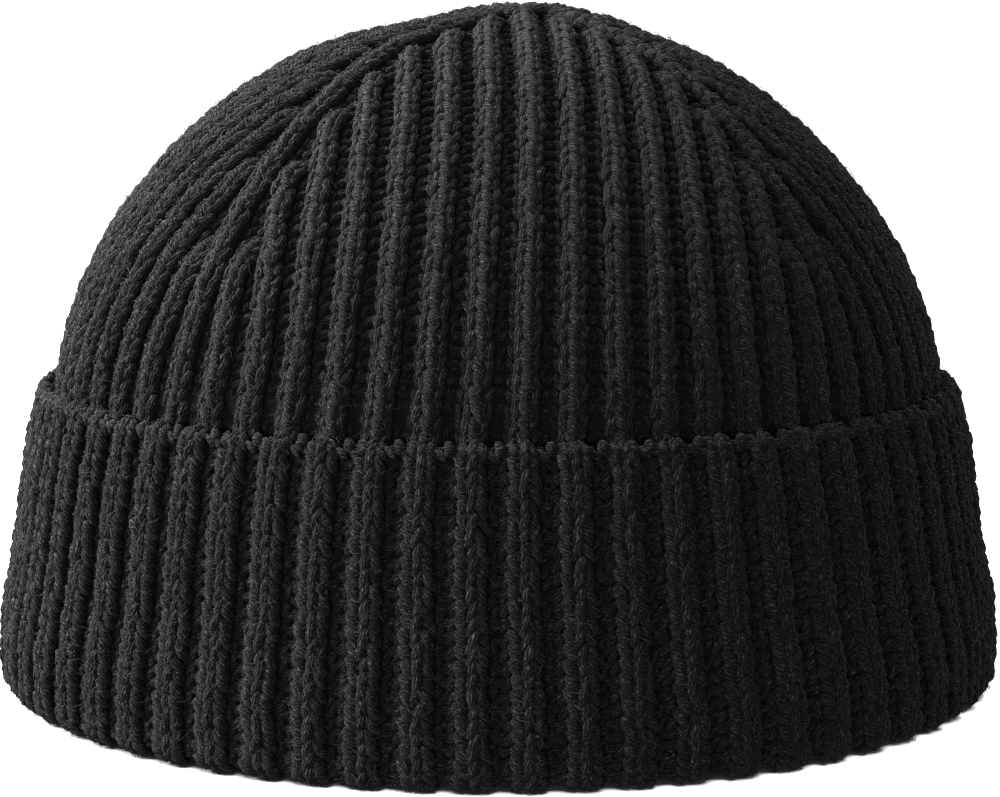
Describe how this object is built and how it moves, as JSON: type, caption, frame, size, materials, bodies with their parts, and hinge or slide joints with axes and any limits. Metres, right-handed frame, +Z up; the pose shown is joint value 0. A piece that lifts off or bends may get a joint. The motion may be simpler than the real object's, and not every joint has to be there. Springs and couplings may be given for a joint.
{
  "type": "knit hat",
  "caption": "Chunky ribbed knit beanie with a deep turned-up cuff and a domed crown of four gores, in charcoal yarn, standing open side down.",
  "frame": {"origin": "middle of the base, level with the underside of the cuff's fold", "axes": "+Z up through the drawn-up top, -Y is the front, +X to the wearer's left; the hat is widest along X"},
  "size_m": [0.2, 0.1894, 0.1333],
  "materials": {
    "charcoal_yarn": "matt, slightly fuzzy spun yarn in a deep rib knit"
  },
  "bodies": {
    "root": {"crown": "charcoal_yarn", "cuff": "charcoal_yarn"}
  },
  "joints": []
}
